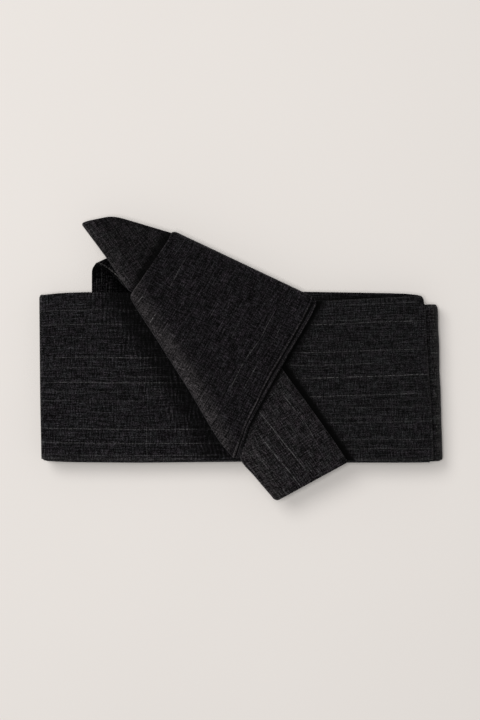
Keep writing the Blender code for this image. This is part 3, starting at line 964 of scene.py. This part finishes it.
def wrapMid(s, across):
    # to 1 it runs from the right panel's level, to 2 round the lower fold, to 3 up the ribs, to 4
    # round the top fold, and then back under
    across += wrapCloseUp(s, across)
    share = across / band["width"]
    edge, radius, inward = wrapRoll(share)
    pull = bothCorners(across, band["width"], wrap["corner"])
    toe = wrap["toe"] * ease((share - wrap["toeFrom"]) / (1 - wrap["toeFrom"]))
    edge = edge + pull * inward
    centre = edge + (radius + half) * inward
    if s < 1:
        return Vector((*wrapFlangeEdge(share).lerp(centre, s), rightLevel))
    if s < 1.5:
        angle = math.pi * (s - 1.5)
        place = centre - radius * math.cos(angle) * inward + math.cos(angle) * toe
        return Vector((*place, rightLevel + radius * (1 + math.sin(angle))))
    low, high = wrap["top"]
    run = (high - low).normalized()
    down = Vector((run.y, -run.x))
    brow = low.lerp(high, share) + pull * down
    rib = (brow - edge).normalized()
    rib /= rib.dot(inward)
    upper = edge + half * inward + wrap["roll"] * rib
    if s < 2:
        angle = math.pi * (s - 1.5)
        place = upper - wrap["roll"] * math.cos(angle) * rib + math.cos(angle) * toe
        return Vector((*place, mix(rightLevel + radius, wrapLevel(place), math.sin(angle))))
    level = returnLevel - northDroop(brow.y)
    crest = (wrapLevel(brow + wrap["probe"] * down) - level) / 2
    topCentre = brow + (crest + half) * down
    if s < 3:
        place = upper.lerp(topCentre, s - 2)
        bow = readSoft(wrap["sewnBow"], s - 2, wrap["bowSoft"])
        place.x += bow * ease((share - wrap["bowFrom"]) / (1 - wrap["bowFrom"]))
        return Vector((*place, wrapLevel(place)))
    if s < 4:
        angle = math.pi * (s - 3.5)
        place = topCentre - crest * math.cos(angle) * down
        return Vector((*place, level + crest * (1 - math.sin(angle))))
    place = topCentre + mix(*wrap["returns"], share) * down * (s - 4)
    return Vector((*place, returnLevel - northDroop(place.y)))


def outsideSewn(place):
    # how far a place lies outside the wrap's sewn edge as it bows
    foot, head = sewnEdge
    share = (place.xy - foot).dot(head - foot) / (head - foot).length_squared
    upRib = (share - wrap["sewnFoot"]) / (1 - wrap["sewnFoot"])
    bow = readSoft(wrap["sewnBow"], upRib, wrap["bowSoft"])
    return -sideways(place, foot, head) - wrap["sewnLean"] * bow


def wrapPuff(s, across):
    if not 1.5 <= s <= 3.2:
        return 0.0
    place = wrapMid(s, across)
    return swell(wrap, place.x, place.y, across, band["width"] - wrap["lipStep"])


# painted light and shade on the wrap
def wrapShading(s, across, place):
    paintedMarks = wrap["paintedMarks"]
    low, high = wrap["fold"]
    fromFold = sideways(place, low, high)
    alongFold = (place.xy - low).dot((high - low).normalized())
    lowerFrom, over, narrower = paintedMarks["narrow"]
    lower = ease((alongFold - lowerFrom) / over)
    middle, reach = paintedMarks["middle"]
    shine = readSoft(wrap["shine"], fromFold * mix(1.0, narrower, lower), paintedMarks["shineSoft"])
    shine *= mix(paintedMarks["atEnds"], paintedMarks["atMiddle"], near(abs(alongFold - middle), reach))
    shine *= 1 + wavers(place.x, place.y, paintedMarks["patches"])
    shine *= 1 + paintedMark(paintedMarks["sewn"], sideways(place, *sewnEdge))
    onLips = paintedMark(paintedMarks["lips"], sideways(place, *sewnEdge))
    fade = onLips * paintedMark(paintedMarks["lipsHead"], (place.xy - sewnEdge[1]).length)
    return shine + paintedMark(paintedMarks["top"], -sideways(place, *wrap["top"])) - fade


def layWrap(bm, uvLayer):
    rib = band["fine"] / wrap["rib"]
    alongs = stations((0.0, 1.0, 0.25), (1.0, 1.5, 1 / 12), (1.5, 2.0, 1 / 20), (2.0, 3.0, rib),
                      (3.0, 4.0, 0.1), (4.0, 5.0, 0.25))
    ribs = alongs.index(2.0)
    yield layBand(bm, uvLayer, alongs, wrapSection, wrapMid, wrap["warpWay"], from0=ribs,
                  puff=wrapPuff, paintedShading=wrapShading)


def onWrap(x, y):
    # where a place in plan falls on the wrap's cut
    at = Vector((x, y))
    best = min((i / 400 for i in range(401)), key=lambda t: wrapRibDistance(at, t))
    return at.dot(wrap["warpWay"]), best * band["width"]


def wrapRibDistance(at, share):
    foot, head = wrap["fold"][0].lerp(wrap["fold"][1], share), wrap["top"][0].lerp(wrap["top"][1], share)
    rib = (head - foot).normalized()
    return abs((at - foot).dot(Vector((-rib.y, rib.x))))


# the right panel, which turns into the wrap at its left end

def rightMid(s, across):
    # to 1 it runs east, to 2 round its fold, and then west underneath
    share = across / band["width"]
    start = wrapFlangeEdge(share)
    y = edgeY(rightPanel, rightPanel["north"][-1][0], share)
    centre = foldX(rightPanel, y) - turn - half
    centre -= bothCorners(across, band["width"], rightPanel["corner"])
    if s < 1:
        x = mix(start.x, centre, s)
        straight = edgeY(rightPanel, x, share)
        return Vector((x, mix(start.y, straight, ease(3 * s)), rightLevel))
    tuck, tuckWidth = rightPanel["tuck"]
    under = centre - tuck * ease(1 - across / tuckWidth)
    if s < 2:
        angle = math.pi * (s - 1)
        x = mix(centre, under, s - 1)
        y = mix(edgeY(rightPanel, centre, share), edgeY(leftPanel, under, share), s - 1)
        return Vector((x + turn * math.sin(angle), y, rightLevel - turn + turn * math.cos(angle)))
    x = mix(under, rightPanel["returnEnd"], s - 2)
    return Vector((x, edgeY(leftPanel, x, share), leftLevel))


def rightPuff(s, across):
    if s > 1:
        return 0.0
    return swell(rightPanel, mix(0.0, 110.0, s), across, across, band["width"])


# painted light and shade on the right panel
def rightShading(s, across, place):
    paintedMarks = rightPanel["paintedMarks"]
    if s > 2:
        return paintedMarks["under"]
    toTail = abs(sideways(place, tail["foot"], tail["head"]))
    toWrap = abs(outsideSewn(place))
    beside = max(paintedMark(paintedMarks["besideTail"], toTail), paintedMark(paintedMarks["besideWrap"], toWrap))
    line = max(paintedMark(paintedMarks["tailLine"], toTail), paintedMark(paintedMarks["wrapLine"], toWrap))
    rim = paintedMark(paintedMarks["fold"], foldX(rightPanel, place.y) - place.x)
    rim += paintedMark(paintedMarks["south"], place.y - rightPanel["south"][0][1])
    return rim + paintedMarks["beside"] * beside + paintedMarks["line"] * line


def layRight(bm, uvLayer):
    alongs = stations((0.0, 1.0, band["fine"] / rightPanel["length"]), (1.0, 2.0, 0.125),
                      (2.0, 3.0, 0.25))
    yield layBand(bm, uvLayer, alongs, bandSection(), rightMid, Vector((1.0, 0.0)),
                  from0=rightPanel["evenStation"], puff=rightPuff, paintedShading=rightShading)


# the outer fold, which wraps the right end of the stack

outer = {
    "fold": ((-60.4, 118.2), (31.4, 115.2)),
    "width": band["width"] - stack["cutBack"],
    "corner": 2.0,
    "nose": 4.6,
    "sag": (0.5, 14.0, 44.0),
    "left": 72.0,
    "slant": 1.5,
    # painted highlight on the nose's crest, painted shade beside the right panel
    "paintedMarks": {"crest": 2.4, "atCrest": (0.6, 0.6, 2.0), "besidePanel": (-0.5, 0.3, 1.6)},
    "finish": {"tone": 0.96, "seed": 5.0, "tint": (1.0, 1.02, 0.99)},
    "cut": (0.2015, 0.0995),
    "area": 0.0195,
    "slubs": (((60.0, 30.0), (200.0, 30.0), 0.3), ((60.0, 62.0), (200.0, 62.0), 0.4)),
}


def outerMid(s, across):
    # to 1 it runs east on the floor, to 2 round its nose, and then back over the stack
    share = across / outer["width"]
    (southY, southX), (northY, northX) = outer["fold"]
    y = mix(northY, southY, share)
    centre = mix(northX, southX, share) - outer["nose"] - half
    centre -= bothCorners(across, outer["width"], outer["corner"])
    middle = coreTop / 2
    if s < 1:
        return Vector((mix(outer["left"], centre, s), y, half))
    if s < 2:
        angle = math.pi * (s - 1.5)
        bulge = outer["nose"] + wavers(y, angle * 3, outer["sag"])
        return Vector((centre + bulge * math.cos(angle), y, middle + (middle - half) * math.sin(angle)))
    return Vector((mix(centre, outer["left"], s - 2), y + outer["slant"] * (s - 2), coreTop - half))


# painted light and shade on the outer fold
def outerShading(s, across, place):
    paintedMarks = outer["paintedMarks"]
    (southY, southX), (northY, northX) = outer["fold"]
    fromFold = mix(northX, southX, (northY - place.y) / (northY - southY)) - place.x
    fromPanel = place.x - foldX(rightPanel, place.y)
    return paintedMark(paintedMarks["atCrest"], abs(fromFold - paintedMarks["crest"])) + paintedMark(paintedMarks["besidePanel"], fromPanel)


def layOuter(bm, uvLayer):
    alongs = stations((0.0, 1.0, 0.12), (1.0, 2.0, 1 / 18), (2.0, 2.2, 0.03), (2.2, 3.0, 0.12))
    yield layBand(bm, uvLayer, alongs, bandSection(outer["width"]), outerMid, Vector((1.0, 0.0)),
                  from0=len(alongs) - 2, paintedShading=outerShading)


# the hidden layers

hidden = {
    "left": -115.7,
    "right": (109.6, 113.3),     # at the north and at the south
    "rightBow": 2.4,             # how much further in than the middle ones the lowest layer ends
    "allow": 0.55,               # from a layer's middle to its outside
    "north": 37.2,
    "south": -59.6,
    "cutBackFrom": (92.0, 20.0),
    "ripple": (0.25, 24.0, 51.0),
    "thick": 1.06,
    "lipStep": 0.8,
    "top": (-103.6, 71.6),
    # how far each layer, from the lowest up, stands in at the left, the north and the south
    "pullIns": (
        (0.6, 0.3, 0.2), (0.6, 0.9, 0.6), (0.1, 0.4, 0.1), (0.1, 0.0, 0.7), (0.9, 0.8, 0.3),
        (0.9, 0.5, 0.0), (0.3, 1.1, 0.5), (0.3, 0.2, 0.8), (1.2, 0.6, 0.2), (1.2, 0.1, 0.6),
        (0.5, 0.5, 0.1), (0.5, 0.3, 0.4), (1.0, 0.7, 0.3),
    ),
    "slubs": (),
    "finish": {"tone": 0.9, "seed": 6.0},
    "cut": (0.2143, 2.85),
    "area": 0.610,
}
topLayer = stack["layers"] - 1


def hiddenEdge(layer, x, share):
    _, north, south = hidden["pullIns"][layer]
    begins, over = hidden["cutBackFrom"]
    cut = ease((x - begins) / over) * stack["cutBack"]
    ripple = wavers(x, layer * 9.0, hidden["ripple"])
    return mix(hidden["north"] - north - cut + ripple, hidden["south"] + south + ripple, share)


def hiddenLevel(layer):
    return (layer + 0.5) * stack["pitch"]


def hiddenLeft(layer):
    return hidden["left"] + hidden["pullIns"][layer][0] + stack["pitch"] / 2 + hidden["allow"]


def hiddenRight(layer, share):
    setback = (2 * (layer + 1) / stack["layers"] - 1) ** 2 * hidden["rightBow"]
    return mix(*hidden["right"], share) - setback - stack["pitch"] / 2 - hidden["allow"]


def zigzagMid(s, across):
    # every layer but the top one, each run followed by the fold into the next, starting leftwards
    share = across / band["width"]
    layer = min(int(s / 2), topLayer - 1)
    part = s - 2 * layer
    radius = stack["pitch"] / 2
    if layer % 2 == 0:
        sign, end = -1, hiddenLeft(layer)
        start = hiddenRight(layer - 1, share) if layer else hidden["top"][1]
    else:
        sign, start, end = 1, hiddenLeft(layer - 1), hiddenRight(layer, share)
    if part <= 1:
        x = mix(start, end, part)
        return Vector((x, hiddenEdge(layer, x, share), hiddenLevel(layer)))
    angle = math.pi * (part - 1)
    y = mix(hiddenEdge(layer, end, share), hiddenEdge(layer + 1, end, share), part - 1)
    return Vector((end + sign * radius * math.sin(angle), y,
                   hiddenLevel(layer) + radius * (1 - math.cos(angle))))


def topHiddenMid(s, across):
    share = across / band["width"]
    x = mix(*hidden["top"], s)
    return Vector((x, hiddenEdge(topLayer, x, share), hiddenLevel(topLayer)))


def layHidden(bm, uvLayer):
    runs = []
    for layer in range(topLayer):
        runs += [(2.0 * layer, 2.0 * layer + 1, 1 / 26), (2.0 * layer + 1, 2.0 * layer + 2, 1 / 6)]
    section = bandSection(thick=hidden["thick"], lipStep=hidden["lipStep"], fineTo=0.0)
    yield layBand(bm, uvLayer, stations(*runs[:-1]), section, zigzagMid, Vector((-1.0, 0.0)))
    yield layBand(bm, uvLayer, steps(0.0, 1.0, 1 / 20), section, topHiddenMid, Vector((1.0, 0.0)))


# the rising strand, folded in half like the tail

strand = {
    "root": (Vector((-87.1, 37.9)), Vector((-50.0, 37.9))),
    "rootLevel": 10.5,
    "under": 12.5,
    "over": 16.9,
    "brow": (Vector((-86.9, 51.0)), Vector((-50.6, 67.8))),    # the middle of the turn
    "drift": 6.2,        # how far the threads run along the brow as they go round it
    # past the turn, by the distance along the tail: where its left edge lies across, and its level
    "left": ((-15.0, 49.0), (-4.8, 47.7), (2.0, 47.2), (9.0, 41.2), (34.0, 41.4)),
    "level": ((-15.0, 16.9), (-4.8, 17.0), (2.0, 17.4), (9.0, 18.9), (34.0, 18.9)),
    "right": 15.0,       # where its right edge lies across
    "side": 36.0,        # the width of each of its two layers
    "thick": band["thick"] - 0.05,
    "lipStep": 0.4,
    "fineTo": 40.0,
    # painted light on the strand's outer layer, painted shade inside the loop, at its root, towards its
    # half fold and under the ear
    "paintedMarks": {
        "outside": 0.5,
        "inside": (1.0, 1.2, 0.25),    # by the station past the turn
        "deep": 0.9,
        "root": (1.2, -0.95, 0.5),
        "slack": (1.4, 31.0, 14.0),    # towards the half fold
        "underEar": (1.3, 2.1, 0.3),
    },
    # the strand's dark tone is painted shade, for the shade inside the loop and under the ear
    "finish": {"tone": 0.45, "seed": 7.0, "grainy": 1.7, "gloss": 0.2},
    "cut": (0.1657, 0.0874),
    "area": 0.0133,
    "slubs": (
        ((36.0, 34.6), (50.0, 34.6), 0.30),
        ((40.0, 31.8), (60.0, 31.8), 0.20),
        ((36.0, 27.2), (46.0, 27.2), 0.30),
    ),
    # a painted highlight beside the strand's half fold
    "paintedLight": ((38.6, 1.0, 2.5),),
}


def strandLine(s, share):
    # up from the stack to 1, round the brow to 2, and on under the tail to 3
    low, high = strand["brow"]
    run = (high - low).normalized()
    back = Vector((run.y, -run.x))
    bend = (strand["over"] - strand["under"]) / 2
    root = strand["root"][0].lerp(strand["root"][1], share)
    centre = low.lerp(high, share)
    if s < 1:
        return Vector((*root.lerp(centre, s), mix(strand["rootLevel"], strand["under"], ease(s))))
    if s < 2:
        angle = math.pi * (s - 1.5)
        place = centre - bend * math.cos(angle) * back + strand["drift"] * (s - 1) * run
        return Vector((*place, strand["under"] + bend * (1 + math.sin(angle))))
    at = mix(strand["left"][0][0], strand["left"][-1][0], s - 2)
    left = readSoft(strand["left"], at, 2.0)
    here = tailPoint(at, mix(left, strand["right"], share))
    past = centre + strand["drift"] * run
    return Vector((*past.lerp(here, ease(4 * (s - 2))), readSoft(strand["level"], at, 3.0)))


def strandMid(s, across):
    # two layers of the band with its half fold at the left
    bend = math.pi * half
    side = strand["side"]
    if across < side:
        share, angle = 1 - across / side, math.pi / 2
    elif across < side + bend:
        share, angle = 0.0, math.pi / 2 - (across - side) / half
    else:
        share, angle = (across - side - bend) / side, -math.pi / 2
    line = strandLine(s, share)
    onward, aside = 0.004, 0.01
    ahead = strandLine(s + onward, share) - strandLine(max(s - onward, 0.0), share)
    outward = (strandLine(s, share + aside) - strandLine(s, share - aside)).normalized()
    up = outward.cross(ahead).normalized()
    return line + up * (half * math.sin(angle)) - outward * (half * max(math.cos(angle), 0.0) - half)


# painted light and shade on the strand
def strandShading(s, across, place):
    paintedMarks = strand["paintedMarks"]
    inside = paintedMark(paintedMarks["inside"], s)
    slack, begins, over = paintedMarks["slack"]
    deep = paintedMarks["deep"] + paintedMark(paintedMarks["root"], -s) + slack * ease((begins - across) / over)
    return paintedMarks["outside"] - inside * deep - (1 - inside) * paintedMark(paintedMarks["underEar"], s)


def layStrand(bm, uvLayer):
    alongs = stations((0.0, 2.0, 0.1), (2.0, 3.0, 1 / 24))
    width = 2 * strand["side"] + math.pi * half
    section = bandSection(width, strand["thick"], strand["lipStep"], fineTo=strand["fineTo"])
    yield layBand(bm, uvLayer, alongs, section, strandMid, Vector((0.0, 1.0)), paintedShading=strandShading)


# the camera, the floor and the light

studio = {
    "distance": 1400.0,
    "level": 16.0,              # the height that is seen at its true size
    "centre": (-0.8, -1.0),
    "frameHeight": 420.0,
    "sensor": 24.0,
    "floorHalf": 6.0,           # in metres, as the lamps' sizes are
    "floorDrop": 0.0002,
    "paper": ((0.79, 0.757, 0.732, 1.0), (0.82, 0.787, 0.762, 1.0)),
    "mottle": 5.0,
    "paperRoughness": 0.95,
    "paperSpecular": 0.1,
    "sky": (1.0, 0.995, 0.985, 1.0),
    "skyStrength": 0.24,
    "lampColour": (1.0, 0.985, 0.965),
    "lamps": (
        # name, way to it in plan (degrees from east), tilt off the vertical, distance, size, watts
        ("softbox", 138.0, 34.0, 2.4, 1.4, 23.0),
        ("overhead", 185.0, 4.0, 1.8, 0.45, 14.5),
    ),
}


def makeCamera():
    lens = bpy.data.cameras.new("camera")
    lens.sensor_fit = "VERTICAL"
    lens.sensor_height = studio["sensor"]
    lens.lens = lens.sensor_height * studio["distance"] / studio["frameHeight"]
    lens.clip_start = 0.01
    camera = bpy.data.objects.new("camera", lens)
    camera.location = Vector((*studio["centre"], studio["distance"] + studio["level"])) * mm
    bpy.context.scene.collection.objects.link(camera)
    bpy.context.scene.camera = camera


def makeFloor():
    bm = bmesh.new()
    bmesh.ops.create_grid(bm, x_segments=1, y_segments=1, size=studio["floorHalf"])
    mesh = bpy.data.meshes.new("floor")
    bm.to_mesh(mesh)
    bm.free()
    floor = bpy.data.objects.new("floor", mesh)
    floor.location = (0.0, 0.0, -studio["floorDrop"])
    bpy.context.scene.collection.objects.link(floor)
    f = Finish("cream paper")
    place = f.add("ShaderNodeTexCoord").outputs["Object"]
    mottle = f.add("ShaderNodeTexNoise", None, {"Vector": place, "Scale": studio["mottle"]})
    f.feed(f.shader.inputs["Base Color"], f.blend(f.value(mottle.outputs[0]), *studio["paper"]))
    f.shader.inputs["Roughness"].default_value = studio["paperRoughness"]
    f.shader.inputs["Specular IOR Level"].default_value = studio["paperSpecular"]
    mesh.materials.append(f.material)


def makeLight():
    world = bpy.data.worlds.new("studio")
    bpy.context.scene.world = world
    world.use_nodes = True
    sky = world.node_tree.nodes["Background"]
    sky.inputs["Color"].default_value = studio["sky"]
    sky.inputs["Strength"].default_value = studio["skyStrength"]
    for name, way, tilt, distance, size, watts in studio["lamps"]:
        lamp = bpy.data.lights.new(name, "AREA")
        lamp.shape = "DISK"
        lamp.size = size
        lamp.energy = watts
        lamp.color = studio["lampColour"]
        stand = bpy.data.objects.new(name, lamp)
        a, t = math.radians(way), math.radians(tilt)
        spot = Vector((math.sin(t) * math.cos(a), math.sin(t) * math.sin(a), math.cos(t)))
        stand.location = spot * distance
        stand.rotation_euler = spot.to_track_quat("Z", "Y").to_euler()
        bpy.context.scene.collection.objects.link(stand)
    bpy.context.scene.view_settings.view_transform = "Standard"


def edgeLight(section):
    # painted highlight along the plain edge and both lips, painted shade in the groove between them and
    # past the lower lip
    upper, lower = lipWays(section)
    return ((0.0, 1.8, 0.8), (upper - 0.9, 0.9, 0.8), (upper + 0.9, 0.8, -1.2),
            (lower - 0.9, 0.9, 0.8), (lower - 2.6, 0.9, -1.0))


# painted highlights and shade along a plain band's edges
plainEdgeLight = edgeLight(bandSection())
upperLip, lowerLip = lipWays(wrapSection)
# the wrap's: painted highlight on the plain edge and both lips, painted shade before the upper lip, in
# the groove and past the lower lip
wrapEdgeLight = ((0.0, 1.7, 1.5),
            (upperLip - 2.0, 0.8, -0.7), (upperLip - 0.7, 0.7, 1.6), (upperLip + 0.6, 0.8, -2.9),
            (lowerLip - 2.9, 1.2, -3.2), (lowerLip - 0.9, 0.8, 1.3))

makeCamera()
makeFloor()
makeLight()
print("stage set")
clothObject("hidden_layers_cloth", hidden, layHidden, plainEdgeLight, ["stack_core"])
clothObject("outer_fold_cloth", outer, layOuter, plainEdgeLight, ["outer_right_fold"])
clothObject("left_panel_cloth", leftPanel, layLeft, plainEdgeLight, ["left_front_panel"])
clothObject("right_panel_cloth", rightPanel, layRight, plainEdgeLight, ["right_front_panel"])
clothObject("strand_cloth", strand, layStrand, strand["paintedLight"], ["rising_strand"])
clothObject("tail_cloth", tail, layTail, plainEdgeLight, ["tail_ear", "tail_end"])
wrapSlubs = [(onWrap(*start), onWrap(*end), strength) for start, end, strength in wrap["slubs"]]
clothObject("wrap_cloth", dict(wrap, slubs=wrapSlubs), layWrap, wrapEdgeLight, ["wide_wrap"])
